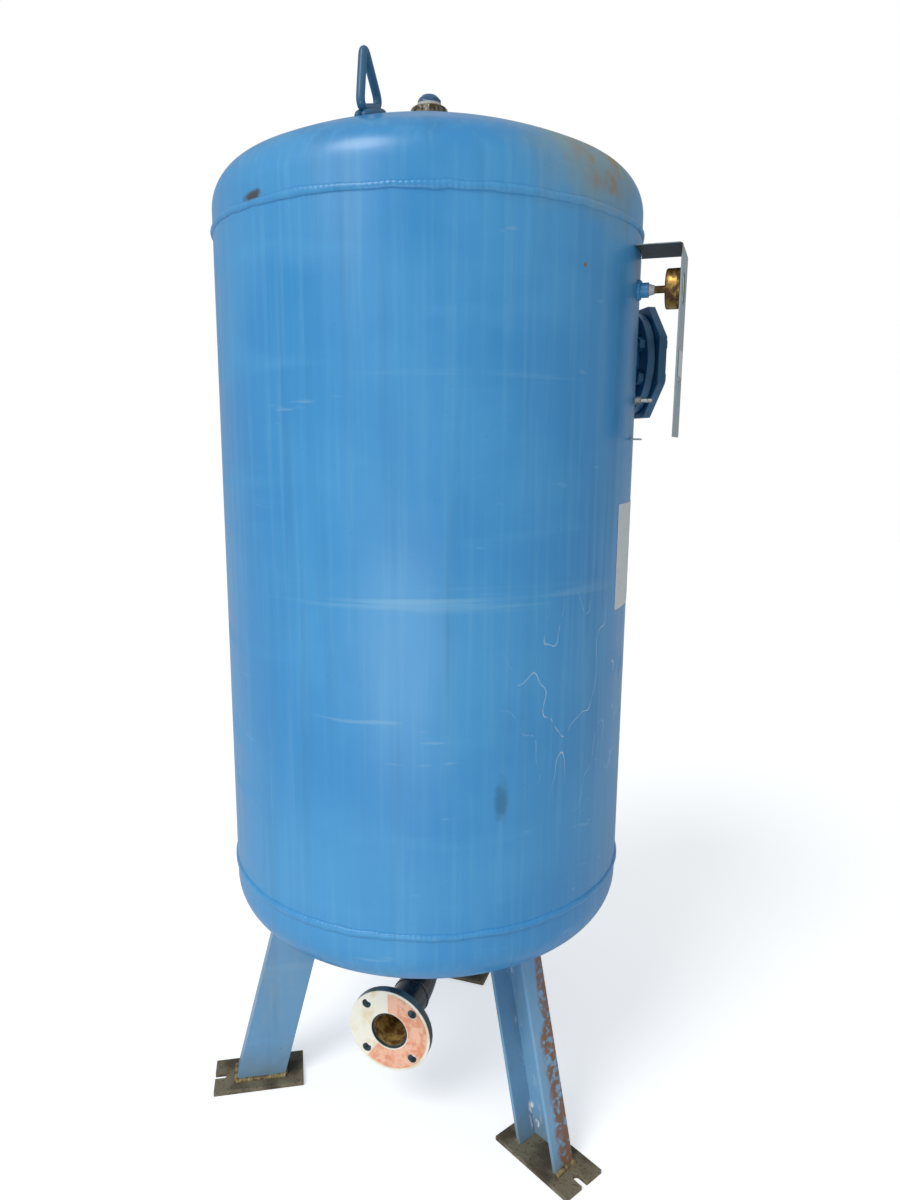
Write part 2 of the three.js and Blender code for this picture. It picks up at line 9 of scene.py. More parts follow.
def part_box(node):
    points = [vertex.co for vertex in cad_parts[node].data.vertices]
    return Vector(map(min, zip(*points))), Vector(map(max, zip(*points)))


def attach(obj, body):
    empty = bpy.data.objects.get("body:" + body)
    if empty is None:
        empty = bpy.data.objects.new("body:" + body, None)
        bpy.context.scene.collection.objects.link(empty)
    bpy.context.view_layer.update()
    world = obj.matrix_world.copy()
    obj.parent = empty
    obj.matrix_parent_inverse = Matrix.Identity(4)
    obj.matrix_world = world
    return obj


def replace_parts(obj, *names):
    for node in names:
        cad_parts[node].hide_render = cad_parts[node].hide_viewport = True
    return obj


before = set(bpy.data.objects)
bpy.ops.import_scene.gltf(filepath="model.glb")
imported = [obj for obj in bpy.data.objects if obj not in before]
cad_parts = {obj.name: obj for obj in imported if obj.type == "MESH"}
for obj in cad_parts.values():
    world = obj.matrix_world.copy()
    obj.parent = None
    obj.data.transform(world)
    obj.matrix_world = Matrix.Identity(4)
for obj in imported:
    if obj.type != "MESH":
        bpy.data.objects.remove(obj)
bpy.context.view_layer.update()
scene = bpy.context.scene
scene.view_settings.view_transform = "Standard"

# ---------------------------------------------------------------- viewpoint
# The eye stands level with the bottom of the gauge's guard, a little to the right of the inlet, and
# looks slightly down. The vessel's own axis is not the middle of its footprint.
AXIS = np.array([-0.024517, -0.03275, 0.0])


def at(azimuth, radius, z):
    """The point that far from the vessel's axis, in metres, azimuth degrees from the inlet's side towards the gauge's."""
    a = np.radians(azimuth)
    return AXIS + np.array([radius * np.sin(a), -radius * np.cos(a), z])


VIEW_AZIMUTH, VIEW_PITCH, VIEW_YAW, VIEW_ROLL = 20.7, 0.1826, 0.0265, 0.0074
turn = Matrix.Rotation(math.radians(VIEW_AZIMUTH), 3, "Z")
sight = (turn @ Vector((math.sin(VIEW_YAW) * math.cos(VIEW_PITCH), math.cos(VIEW_YAW) * math.cos(VIEW_PITCH),
            -math.sin(VIEW_PITCH))))
level = turn @ Vector((math.cos(VIEW_YAW), -math.sin(VIEW_YAW), 0))
above = level.cross(sight)
across = level * math.cos(VIEW_ROLL) + above * math.sin(VIEW_ROLL)
upward = above * math.cos(VIEW_ROLL) - level * math.sin(VIEW_ROLL)
eye = bpy.data.objects.new("eye", bpy.data.cameras.new("eye"))
eye.data.lens, eye.data.sensor_width = 25.35, 36
eye.matrix_world = (Matrix.Translation(Vector(at(VIEW_AZIMUTH, 1.7184, 1.375))) @ Matrix((across, upward,
            -sight)).transposed().to_4x4())
scene.collection.objects.link(eye)
scene.camera = eye


# ---------------------------------------------------------------- daylight
# A soft sun and a wide sky from the upper left, faint glows from the right and off the ground, and a
# pale room all round.
def soft_light(name, azimuth, radius, z, width, height, watts, colour=(1, 1, 1)):
    lamp = bpy.data.objects.new(name, bpy.data.lights.new(name, "AREA"))
    lamp.data.shape, lamp.data.size, lamp.data.size_y = "ELLIPSE", width, height
    lamp.data.energy, lamp.data.color = watts, colour
    lamp.location = at(azimuth, radius, z)
    lamp.rotation_euler = (Vector((AXIS[0], AXIS[1], 1.1)) - lamp.location).to_track_quat("-Z", "Y").to_euler()
    scene.collection.objects.link(lamp)


soft_light("sky_left", -18, 3.0, 3.2, 2.0, 2.4, 22)
soft_light("sky_right", 75, 3.6, 2.2, 1.4, 1.8, 1.5)
soft_light("ground_glow", 6, 2.9, 0.45, 2.4, 0.8, 13)
sun = bpy.data.objects.new("sun", bpy.data.lights.new("sun", "SUN"))
sun.data.energy, sun.data.angle = 1.0, 0.42
sun.rotation_euler = Vector(at(-22, 1, 0) - AXIS + [0, 0, 1.15]).to_track_quat("Z", "Y").to_euler()
scene.collection.objects.link(sun)

world = bpy.data.worlds.new("pale_room")
world.use_nodes = True
scene.world = world
tree = world.node_tree
room, path = tree.nodes["Background"], tree.nodes.new("ShaderNodeLightPath")
room.inputs["Color"].default_value = (0.90, 0.96, 1.0, 1)
room.inputs["Strength"].default_value = 0.46
white = tree.nodes.new("ShaderNodeBackground")
white.inputs["Color"].default_value = (1, 1, 1, 1)
pick = tree.nodes.new("ShaderNodeMixShader")
tree.links.new(path.outputs["Is Camera Ray"], pick.inputs[0])
tree.links.new(room.outputs[0], pick.inputs[1])
tree.links.new(white.outputs[0], pick.inputs[2])
tree.links.new(pick.outputs[0], tree.nodes["World Output"].inputs["Surface"])


# ---------------------------------------------------------------- workshop floor
# A plain white floor that turns white to the eye where it is lit and keeps the vessel's soft shadow.
class Reading:
    """A shader socket that takes part in sums as a number does; each operation adds its Math node."""

    def __init__(self, finish, socket):
        self.finish, self.socket = finish, socket

    def math(self, operation, first, second):
        return self.finish.node("ShaderNodeMath", {0: first, 1: second}, operation=operation)

    def __add__(self, other):
        return self.math("ADD", self, other)

    def __radd__(self, other):
        return self.math("ADD", other, self)

    def __sub__(self, other):
        return self.math("SUBTRACT", self, other)

    def __rsub__(self, other):
        return self.math("SUBTRACT", other, self)

    def __mul__(self, other):
        return self.math("MULTIPLY", self, other)

    def __rmul__(self, other):
        return self.math("MULTIPLY", other, self)


def shade(red, green, blue):
    """A screen colour of 0 to 255 as the linear colour that a shader takes."""
    c = np.array([red, green, blue]) / 255
    return tuple(np.where(c <= 0.04045, c / 12.92, ((c + 0.055) / 1.055) ** 2.4)) + (1.0,)


class Finish:
    """A surface finish: a Principled shader with plain settings, and the nodes that vary it."""

    def __init__(self, name, colour, roughness, **settings):
        self.material = bpy.data.materials.new(name)
        self.material.use_nodes = True
        self.tree = self.material.node_tree
        self.shader = self.tree.nodes["Principled BSDF"]
        self.shader.inputs["Base Color"].default_value = colour
        self.shader.inputs["Roughness"].default_value = roughness
        for name, value in settings.items():
            self.shader.inputs[name.replace("_", " ").title().replace("Ior", "IOR")].default_value = value
        self.place = self.node("ShaderNodeTexCoord", {}, out="Object")

    def node(self, kind, values, out=0, **settings):
        made = self.tree.nodes.new(kind)
        for key, value in settings.items():
            setattr(made, key, value)
        for key, value in values.items():
            if isinstance(value, Reading):
                self.tree.links.new(value.socket, made.inputs[key])
            else:
                made.inputs[key].default_value = value
        return Reading(self, made.outputs[out])

    def vary(self, socket, value):
        self.tree.links.new(value.socket, self.shader.inputs[socket])

    def grain(self, scale, stretch=(1, 1, 1), detail=3.0, shift=0.0):
        """Noise of so many cycles a metre, drawn out along an axis by a stretch below 1."""
        spread = self.node("ShaderNodeMapping",
            {"Vector": self.place, "Scale": stretch, "Location": (shift, shift, shift)})
        return self.node("ShaderNodeTexNoise", {"Vector": spread, "Scale": scale, "Detail": detail}, out="Fac")

    def step(self, value, low, high):
        """0 below low and 1 above high, with a smooth rise between them; the other way round where low is above high."""
        return self.node("ShaderNodeMapRange", {0: value, 1: low, 2: high}, interpolation_type="SMOOTHSTEP")

    def near(self, point, reach, ragged=0.0, grain=30.0, squash=(1, 1, 1)):
        """1 at a point and 0 from reach metres on, with an edge that noise makes ragged."""
        offset = self.node("ShaderNodeVectorMath", {0: self.place, 1: tuple(point)}, operation="SUBTRACT")
        scaled = self.node("ShaderNodeVectorMath", {0: offset, 1: squash}, operation="MULTIPLY")
        distance = self.node("ShaderNodeVectorMath", {0: scaled}, out="Value", operation="LENGTH")
        return self.step(distance + (self.grain(grain) - 0.5) * ragged, reach, reach * 0.25)

    def blend(self, factor, first, second):
        return self.node("ShaderNodeMix", {0: factor, 6: first, 7: second}, out=2, data_type="RGBA")

    def relief(self, height, depth, strength=1.0):
        self.vary("Normal", self.node("ShaderNodeBump",
                {"Height": height, "Distance": depth, "Strength": strength}))


floor_mesh = bpy.data.meshes.new("floor")
floor_mesh.from_pydata([(-12, -12, 0), (12, -12, 0), (12, 12, 0), (-12, 12, 0)], [], [(0, 1, 2, 3)])
floor = bpy.data.objects.new("floor", floor_mesh)
scene.collection.objects.link(floor)
floor_finish = Finish("white_floor", (0.80, 0.80, 0.80, 1), 1.0)
seen = floor_finish.node("ShaderNodeLightPath", {}, out="Is Camera Ray")
floor_finish.shader.inputs["Emission Strength"].default_value = 0.50
floor_finish.vary("Emission Color", floor_finish.blend(seen, (0, 0, 0, 1), (1, 1, 1, 1)))
floor_mesh.materials.append(floor_finish.material)

# ---------------------------------------------------------------- tank
# A rolled shell with a dished head welded on at each end, in semi-gloss blue enamel. Years outdoors have
# left faint runs, rubbed bands, pale scratches and a rust bloom near the top port.
SHELL_R, WALL = 0.400, 0.006
LOW_SEAM, HIGH_SEAM = 0.542, 1.747
CROWN, KNUCKLE, SKIRT = 0.800, 0.080, 0.035
crown_drop = math.sqrt((CROWN - KNUCKLE) ** 2 - (SHELL_R - KNUCKLE) ** 2)
CROWN_RISE = SKIRT - crown_drop + CROWN


def enamel(name, base, light, dark, wear=1.0):
    """Brushed and sprayed paint: slow cloudy tone, vertical runs, rubbed bands and fine scratches."""
    paint = Finish(name, base, 0.34, coat_weight=0.12, coat_roughness=0.15)
    cloud = paint.step(paint.grain(3.2, detail=5.0), 0.35, 0.68)
    runs = paint.step(paint.grain(26, (1, 1, 0.05), 4.0), 0.50, 0.74)
    bands = paint.step(paint.grain(16, (0.14, 0.14, 1), 5.0, 4.0), 0.56, 0.72)
    scratch = paint.step(paint.grain(60, (0.08, 0.3, 1), 6.0, 9.0), 0.66,
        0.72) * paint.step(paint.grain(5, shift=2.0), 0.48, 0.62)
    specks = paint.step(paint.grain(170, detail=2.0, shift=5.0), 0.74, 0.79)
    tone = paint.blend(cloud * 0.6, base, light)
    tone = paint.blend(runs * (0.20 * wear), tone, dark)
    tone = paint.blend(bands * (0.30 * wear), tone, light)
    tone = paint.blend(scratch * (0.22 * wear), tone, shade(160, 196, 216))
    paint.tone = paint.blend(specks * 0.5, tone, dark)
    paint.dull = 0.30 + cloud * 0.10 + bands * 0.14 + runs * 0.06
    paint.skin = paint.grain(3.5, detail=1.0) * 0.8 + paint.grain(240, detail=2.0) * 0.02 + runs * 0.02
    paint.vary("Base Color", paint.tone)
    paint.vary("Roughness", paint.dull)
    paint.relief(paint.skin, 0.004, 0.5)
    return paint


BLUE, BLUE_LIGHT, BLUE_DARK = shade(54, 140, 200), shade(78, 160, 212), shade(34, 100, 144)
tank_paint = enamel("tank_enamel", BLUE, BLUE_LIGHT, BLUE_DARK)
halo = tank_paint.near(at(64, 0.36, 1.845), 0.20, 0.14, 12.0, (1, 1, 1.25))
bloom = tank_paint.near(at(68, 0.385, 1.825), 0.125, 0.09, 26.0, (1, 1, 1.3))
seam_rust = tank_paint.near(at(-23.5, 0.402, 1.757), 0.027, 0.03, 70.0, (0.9, 0.9, 2.2))
drip = tank_paint.near(at(38.8, 0.400, 0.785), 0.017, 0.010, 60.0, (1, 1, 0.34))
fleck = tank_paint.near(at(58.8, 0.400, 1.655), 0.006, 0.003, 160.0)
rubs = tank_paint.grain(13, (0.16, 0.16, 4.5), 7.0, 3.0)
rub_high = tank_paint.step(rubs, 0.48, 0.60) * tank_paint.near(at(30, 0.36, 1.471), 0.26, 0.10, 8.0, (1, 1, 13))
rub_low = tank_paint.step(rubs, 0.47, 0.58) * tank_paint.near(at(16, 0.30, 1.130), 0.44, 0.16, 8.0, (1, 1, 16))
line_grain = tank_paint.grain(11, (1, 1, 0.55), 1.5, 1.0) - 0.5
hairline = tank_paint.node("ShaderNodeMath", {0: line_grain}, operation="ABSOLUTE")
scribble = tank_paint.step(hairline, 0.0045, 0.0015) * tank_paint.step(tank_paint.grain(30, shift=3.0), 0.42,
    0.50) * tank_paint.near(at(66, 0.40, 0.95), 0.23, 0.06, 12.0)
grime = tank_paint.step(tank_paint.grain(24, detail=7.0), 0.38, 0.66)
brush = tank_paint.step(tank_paint.grain(80, (1, 1, 0.03), 3.0), 0.45, 0.75)
tone = tank_paint.blend(brush * 0.16, tank_paint.tone, shade(120, 182, 216))
tone = tank_paint.blend((rub_high + rub_low) * 0.30, tone, shade(150, 196, 216))
tone = tank_paint.blend(scribble * 0.75, tone, shade(206, 220, 222))
tone = tank_paint.blend(halo * 0.62, tone, shade(150, 160, 134))
tone = tank_paint.blend(bloom * grime * 0.85, tone, shade(158, 122, 66))
tone = tank_paint.blend(seam_rust * 0.9, tone, shade(70, 56, 38))
tone = tank_paint.blend(drip * 0.55, tone, shade(30, 84, 112))
tone = tank_paint.blend(fleck, tone, shade(140, 96, 56))
tank_paint.vary("Base Color", tone)
tank_paint.vary("Roughness", tank_paint.dull + halo * 0.2 + seam_rust * 0.4)


def put(name, points, faces, finish, body="vessel", smooth=60.0):
    """Makes a piece from corner points and faces, joins its coincident corners, points it outwards and lets it ride on a body."""
    mesh = bpy.data.meshes.new(name)
    mesh.from_pydata(points, [], faces)
    work = bmesh.new()
    work.from_mesh(mesh)
    bmesh.ops.remove_doubles(work, verts=work.verts, dist=1e-6)
    bmesh.ops.recalc_face_normals(work, faces=work.faces)
    work.to_mesh(mesh)
    work.free()
    mesh.shade_smooth()
    mesh.set_sharp_from_angle(angle=math.radians(smooth))
    mesh.materials.append(finish.material)
    piece = bpy.data.objects.new(name, mesh)
    scene.collection.objects.link(piece)
    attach(piece, body)
    return piece


def quads(rows, columns, wrap_rows, wrap_columns):
    """The four-cornered faces of a grid of points, with its rows or its columns closed into a loop where asked."""
    r = np.arange(rows if wrap_rows else rows - 1)[:, None]
    c = np.arange(columns if wrap_columns else columns - 1)[None, :]
    r2, c2 = (r + 1) % rows, (c + 1) % columns
    corner = [r * columns + c, r * columns + c2, r2 * columns + c2, r2 * columns + c]
    return np.stack([np.broadcast_to(k, (len(r), c.shape[1])) for k in corner], -1).reshape(-1, 4).tolist()


def turned(name, profile, finish, origin=AXIS, along=(0, 0, 1), segments=96, ripple=None, **options):
    """A profile of (radius, distance along) points turned about an axis: origin + distance * along + radius * the turning direction.
    ripple(angle, radius, distance) adds to the radius. A profile whose ends are off the axis closes on itself."""
    along = np.array(along, float) / np.linalg.norm(along)
    side = np.cross(along, (0, 1, 0) if abs(along[1]) < 0.9 else (1, 0, 0))
    side /= np.linalg.norm(side)
    other = np.cross(along, side)
    r, t = np.array(profile, float).T
    angle = np.linspace(0, 2 * np.pi, segments, endpoint=False)[:, None]
    radius = r[None, :] + (ripple(angle, r[None, :], t[None, :]) if ripple else 0)
    points = np.array(origin) + t[None, :, None] * along + radius[...,
        None] * (np.cos(angle)[..., None] * side + np.sin(angle)[..., None] * other)
    closed = r[0] > 1e-6 or r[-1] > 1e-6
    return put(name, points.reshape(-1, 3), quads(segments, len(r), True, closed), finish, **options)


def sweep(name, path, section, finish, upright, closed=False, swell=None, **options):
    """A section of (sideways, upright) points carried along a path: path point + sideways * (direction x upright) + upright part.
    swell gives each path point its own scale, as a weld's ripples do. An open run is capped."""
    path = np.array(path, float)
    ahead = np.roll(path, -1, 0) - np.roll(path, 1, 0) if closed else np.gradient(path, axis=0)
    ahead /= np.linalg.norm(ahead, axis=1, keepdims=True)
    upright = np.broadcast_to(np.array(upright, float), path.shape)
    side = np.cross(ahead, upright)
    side /= np.linalg.norm(side, axis=1, keepdims=True)
    lift = np.cross(side, ahead)
    s = np.array(section, float)
    scale = np.ones(len(path)) if swell is None else swell
    points = path[:, None] + scale[:, None, None] * (s[None, :, :1] * side[:, None] + s[None, :, 1:]
        * lift[:, None])
    n, m = len(path), len(s)
    faces = quads(n, m, closed, True)
    if not closed:
        faces += [list(range(m)), list(range((n - 1) * m, n * m))]
    return put(name, points.reshape(-1, 3), faces, finish, **options)


def arc_of(radius, centre_r, centre_z, start, end, count):
    """Points of an arc in the (radius, height) plane, from one angle to another in degrees."""
    a = np.radians(np.linspace(start, end, count))
    return [(centre_r + radius * np.cos(k), centre_z + radius * np.sin(k)) for k in a]


def head_profile(inset, hole):
    """A dished head's line from the hole in its middle out to its edge: crown arc, knuckle arc, straight skirt."""
    meet = 90 - math.degrees(math.asin((SHELL_R - KNUCKLE) / (CROWN - KNUCKLE)))
    crown, knuckle = CROWN - inset, KNUCKLE - inset
    return (arc_of(crown, 0, SKIRT - crown_drop, math.degrees(math.acos(hole / crown)), meet, 60)
            + arc_of(knuckle, SHELL_R - KNUCKLE, SKIRT, meet, 0, 16)[1:] + [(SHELL_R - inset, 0.0003)])


def mirrored(profile, z):
    return [(r, z - t) for r, t in profile]


def raised(profile, z):
    return [(r, z + t) for r, t in profile]


wall = [(SHELL_R, z) for z in np.linspace(LOW_SEAM + 0.0003, HIGH_SEAM - 0.0003, 60)]
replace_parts(turned("tank_shell",
        wall + [(SHELL_R - WALL, HIGH_SEAM - 0.0003), (SHELL_R - WALL, LOW_SEAM + 0.0003)], tank_paint,
        segments=256), "shell")
cap = head_profile(0, 0.036) + head_profile(WALL, 0.036)[::-1]
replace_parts(turned("tank_top_head", raised(cap, HIGH_SEAM), tank_paint, segments=256), "top_head")
cup = head_profile(0, 0.0387) + head_profile(WALL, 0.0387)[::-1]
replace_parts(turned("tank_bottom_head", mirrored(cup, LOW_SEAM), tank_paint, segments=256), "bottom_head")

# ---------------------------------------------------------------- seam welds
# Two bands of weld metal, laid by hand in short overlapping ripples that wander a little, painted over.
random = np.random.default_rng(7)


def ripples(count, pitch, length, depth=0.16, wander=0.08):
    """How thick a weld is along its length: a scalloped ripple at each pitch and a slow wander, as a share of its size."""
    s = np.linspace(0, length, count)
    phase = s / pitch
    bite = np.abs(np.sin(np.pi * phase))
    knots = max(4, int(length / (6 * pitch)))
    slow = np.interp(s, np.linspace(0, length, knots), random.uniform(-1, 1, knots))
    slow += (slow[0] - slow[-1]) * s / length
    return 1 - depth * (1 - bite) + wander * slow


def dome(width, height, sides=9, sunk=0.0025):
    """A weld's cross section: half an ellipse that stands on the metal, with its foot sunk a little into it."""
    a = np.radians(np.linspace(0, 180, sides))
    return [(width / 2 * np.cos(k), height * np.sin(k)) for k in a] + [(-width / 2, -sunk), (width / 2, -sunk)]


def ring(centre, along, radius, count, start=0.0):
    """Points of a circle about an axis, and the outward direction at each."""
    along = np.array(along, float) / np.linalg.norm(along)
    side = np.cross(along, (0, 1, 0) if abs(along[1]) < 0.9 else (1, 0, 0))
    side /= np.linalg.norm(side)
    a = np.linspace(0, 2 * np.pi, count, endpoint=False)[:, None] + start
    out = np.cos(a) * side + np.sin(a) * np.cross(along, side)
    return np.array(centre) + radius * out, out


for label, z in (("top_seam_weld", HIGH_SEAM), ("bottom_seam_weld", LOW_SEAM)):
    line, out = ring(AXIS + [0, 0, z], (0, 0, 1), SHELL_R - 0.0004, 1800)
    drift = random.uniform(-1, 1, 120)
    drift[-1] = drift[0]
    line[:, 2] += 0.0013 * np.interp(np.arange(1800), np.linspace(0, 1800, 120), drift)
    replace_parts(sweep("weld_" + label, line, dome(0.0138, 0.0044, 9), tank_paint, out, True,
            ripples(1800, 0.009, 2 * np.pi * SHELL_R, 0.09, 0.17)), label)

# ---------------------------------------------------------------- lifting lugs
# A 14 mm round bar bent into a closed triangle stands on the crown at the front and at the back,
# leaning out with the head's slope, and is fixed by a heap of weld under its base.
LUG_R, LUG_BAR, LUG_FEET, LUG_HEIGHT, LUG_BACK = 0.264, 0.007, 0.082, 0.087, 0.006
# Painted shade: the lugs, their welds, the top plug and the handhole's flange, cover, bolts and nuts carry the tank's
# own blue paint, and this darker copy of it stands in for the shade they sit in.
blue_paint_darkened_as_shade = enamel("blue_enamel_darkened_as_shade", shade(38, 92, 128), shade(66, 124, 156), shade(10, 32, 46), 1.6)
lean = math.asin(LUG_R / CROWN)


def rounded_loop(corners, bends, steps=10):
    """A closed run of straight lines whose corners are rounded: each corner is the curve p + t²(b-p) + (1-t)²(a-p)."""
    corners = np.array(corners, float)
    before, after = np.roll(corners, 1, 0), np.roll(corners, -1, 0)
    bends = np.array(bends, float)[:, None]
    into = corners + (before - corners) / np.linalg.norm(before - corners, axis=1, keepdims=True) * bends
    away = corners + (after - corners) / np.linalg.norm(after - corners, axis=1, keepdims=True) * bends
    t = np.linspace(0, 1, steps)[None, :, None]
    return (corners[:, None] + (1 - t) ** 2 * (into - corners)[:, None]
        + t ** 2 * (away - corners)[:, None]).reshape(-1, 3)


def evened(path, count):
    """The same closed line with its points an equal distance apart."""
    loop = np.vstack([path, path[:1]])
    s = np.append(0, np.cumsum(np.linalg.norm(np.diff(loop, axis=0), axis=1)))
    at_s = np.linspace(0, s[-1], count, endpoint=False)
    return np.stack([np.interp(at_s, s, loop[:, k]) for k in range(3)], -1)


round_bar = [(LUG_BAR * np.cos(k), LUG_BAR * np.sin(k)) for k in np.radians(np.arange(0, 360, 22.5))]
for label, azimuth in (("lifting_lug_front", 0), ("lifting_lug_rear", 180)):
    outward = at(azimuth, 1, 0) - AXIS
    slope = outward * math.cos(lean) - np.array([0, 0, math.sin(lean)])
    normal = outward * math.sin(lean) + np.array([0, 0, math.cos(lean)])
    foot = at(azimuth, LUG_R, HIGH_SEAM + CROWN_RISE - CROWN * (1 - math.cos(lean)))
    base = LUG_BAR + 0.0012
    corners = [foot + slope * (LUG_FEET / 2) + normal * base,
        foot - slope * LUG_BACK + normal * (base + LUG_HEIGHT), foot - slope * (LUG_FEET / 2) + normal * base]
    flat = np.cross(slope, normal)
    loop = evened(rounded_loop(corners, [0.024, 0.019, 0.024]), 150)
    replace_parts(sweep("bar_" + label, loop, round_bar, blue_paint_darkened_as_shade, flat, True), label)
    reach = np.linspace(-LUG_FEET / 2 - 0.002, LUG_FEET / 2 + 0.002, 80)[:, None]
    for side in (-1, 1):
        line = foot + reach * slope + side * 0.0060 * flat - reach ** 2 / (2 * CROWN) * normal
        taper = np.clip(1.25 - 0.55 * np.abs(reach[:, 0] / LUG_FEET * 2) ** 6, 0.5, 2) * ripples(80, 0.007,
            0.09, 0.12, 0.12)
        sweep(f"weld_{label}_{'left' if side < 0 else 'right'}", line, dome(0.013, 0.0065, 9), blue_paint_darkened_as_shade,
            normal, False, taper)

# ---------------------------------------------------------------- top port
# A steel half socket is welded into the crown. A plain reducing bush and a blue hexagon plug with white
# thread tape close it; sealing paste and rust have crept over the metal.
CROWN_Z = HIGH_SEAM + CROWN_RISE
SOCKET_R = 0.035
bare = Finish("old_fitting_steel", shade(126, 120, 104), 0.5, metallic=0.75)
patch = bare.step(bare.grain(90, detail=5.0), 0.42, 0.62)
paste = bare.step(bare.grain(150, detail=3.0, shift=6.0), 0.66, 0.72)
bare.vary("Base Color",
    bare.blend(paste, bare.blend(patch, shade(150, 144, 128), shade(76, 60, 40)), shade(226, 222, 208)))
bare.vary("Roughness", 0.36 + patch * 0.4)
bare.vary("Metallic", 0.85 - patch * 0.6 - paste * 0.25)
bare.relief(patch + paste, 0.0006)

turned("weld_top_port",
    raised([(0.0345, -0.006), (0.0435, -0.0045), (0.0425, -0.001), (0.039, 0.003), (0.0352, 0.0055),
            (0.0345, 0.0045)], CROWN_Z), tank_paint, segments=160, ripple=lambda a, r,
    t: 0.0009 * np.abs(np.sin(a * 20)) * (r > 0.037))
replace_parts(turned("port_socket",
        raised([(0.0288, -0.018), (SOCKET_R, -0.018), (SOCKET_R, 0.0285), (SOCKET_R - 0.0015, 0.030),
                (0.0300, 0.030), (0.0288, 0.0288)], CROWN_Z), tank_paint), "top_socket")
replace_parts(turned("port_bush",
        raised([(0.0211, 0.004), (0.0285, 0.004), (0.0285, 0.0303), (0.0340, 0.0303), (0.0345, 0.0308),
                (0.0345, 0.0488), (0.0330, 0.0508), (0.0225, 0.0510), (0.0211, 0.0500)], CROWN_Z), bare),
    "top_bush")
tape = Finish("thread_tape", shade(232, 232, 226), 0.55)
fold = tape.step(tape.grain(420, (1, 1, 3.0), 4.0), 0.40, 0.65)
tape.vary("Base Color", tape.blend(fold * 0.5, shade(238, 238, 232), shade(190, 188, 176)))
tape.relief(fold, 0.0008)
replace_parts(turned("port_tape",
        raised([(0.0211, 0.0513), (0.0232, 0.0515), (0.0226, 0.0535), (0.0234, 0.0555), (0.0225, 0.0575),
                (0.0229, 0.0594), (0.0211, 0.0596)], CROWN_Z), tape, ripple=lambda a, r,
        t: 0.0004 * np.sin(a * 9 + t * 900) * (r > 0.0215)), "top_plug_tape")


def dressed(label, finish, edge=0.0008, body="vessel", smooth=32.0):
    """The fitted solid with its seams joined, its sharp edges taken off with a small bevel, and its bends shaded smooth."""
    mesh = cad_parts[label].data.copy()
    mesh.name = "finished_" + label
    work = bmesh.new()
    work.from_mesh(mesh)
    bmesh.ops.remove_doubles(work, verts=work.verts, dist=1e-6)
    bmesh.ops.dissolve_limit(work, angle_limit=math.radians(1.0), verts=work.verts, edges=work.edges)
    work.to_mesh(mesh)
    work.free()
    mesh.shade_smooth()
    mesh.materials.clear()
    mesh.materials.append(finish.material)
    piece = bpy.data.objects.new(mesh.name, mesh)
    scene.collection.objects.link(piece)
    if edge:
        bevel = piece.modifiers.new("edge", "BEVEL")
        bevel.width, bevel.segments, bevel.limit_method, bevel.angle_limit, bevel.harden_normals = (edge, 2,
            "ANGLE", math.radians(smooth), True)
    mesh.set_sharp_from_angle(angle=math.radians(smooth))
    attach(piece, body)
    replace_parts(piece, label)
    return piece


# The plug takes the darker copy of the blue paint, as painted shade.
dressed("top_plug", blue_paint_darkened_as_shade, 0.0010)

# ---------------------------------------------------------------- legs and feet
# Three 100 x 50 mm rolled channels splay out from under the bottom head to bare foot plates that were
# welded on site, so those welds are rusty gold; rain has rusted the plates and one channel edge.
SPLAY, LEG_FOOT_R = math.radians(14.4), 0.3705
leg_paint = enamel("leg_enamel", shade(104, 156, 196), shade(132, 176, 206), shade(58, 96, 124), 1.2)
leg_side = leg_paint.node("ShaderNodeVectorMath", {0: leg_paint.place, 1: (0.5, math.sqrt(3) / 2, 0)},
    out="Value", operation="DOT_PRODUCT")
leg_side = leg_side - float(AXIS @ [0.5, math.sqrt(3) / 2, 0])
this_leg = leg_paint.near(at(60, 0.36, 0.15), 0.62, 0.0)
dust = leg_paint.step(leg_paint.grain(34, (1, 1, 0.25), 6.0), 0.52, 0.74)
low = leg_paint.node("ShaderNodeSeparateXYZ", {0: leg_paint.place}, out="Z")
splash = leg_paint.step(low + leg_paint.grain(22, detail=5.0) * 0.12, 0.17, 0.05)
ragged = leg_paint.grain(34, (1, 1, 0.4), 7.0) - 0.5
leg_reach = leg_paint.node("ShaderNodeVectorMath",
    {0: leg_paint.place, 1: (math.sqrt(3) / 2, -0.5, math.tan(SPLAY))}, out="Value", operation="DOT_PRODUCT")
leg_reach = leg_reach - float(AXIS @ [math.sqrt(3) / 2, -0.5, 0]) - LEG_FOOT_R
edge_rust = leg_paint.step(leg_side + ragged * 0.06 - low * 0.028, -0.018,
    -0.002) * leg_paint.step(leg_paint.grain(90, detail=6.0, shift=2.0), 0.34,
    0.52) * leg_paint.step(leg_reach, 0.041, 0.046) * this_leg
speck = leg_paint.step(leg_paint.grain(110, (1, 1, 0.30), 2.0, 8.0), 0.57, 0.62) * leg_paint.step(leg_side,
    0.006, 0.012) * leg_paint.step(leg_reach, -0.012, -0.030) * leg_paint.step(leg_paint.grain(9, shift=1.0),
    0.46, 0.58) * this_leg
tone = leg_paint.blend(dust * 0.25, leg_paint.tone, shade(160, 172, 170))
tone = leg_paint.blend(splash * 0.5, tone, shade(116, 116, 100))
tone = leg_paint.blend(edge_rust * 0.92, tone, shade(132, 88, 48))
tone = leg_paint.blend(speck, tone, shade(232, 234, 230))
leg_paint.vary("Base Color", tone)
leg_paint.vary("Roughness", leg_paint.dull + splash * 0.3 + edge_rust * 0.3)

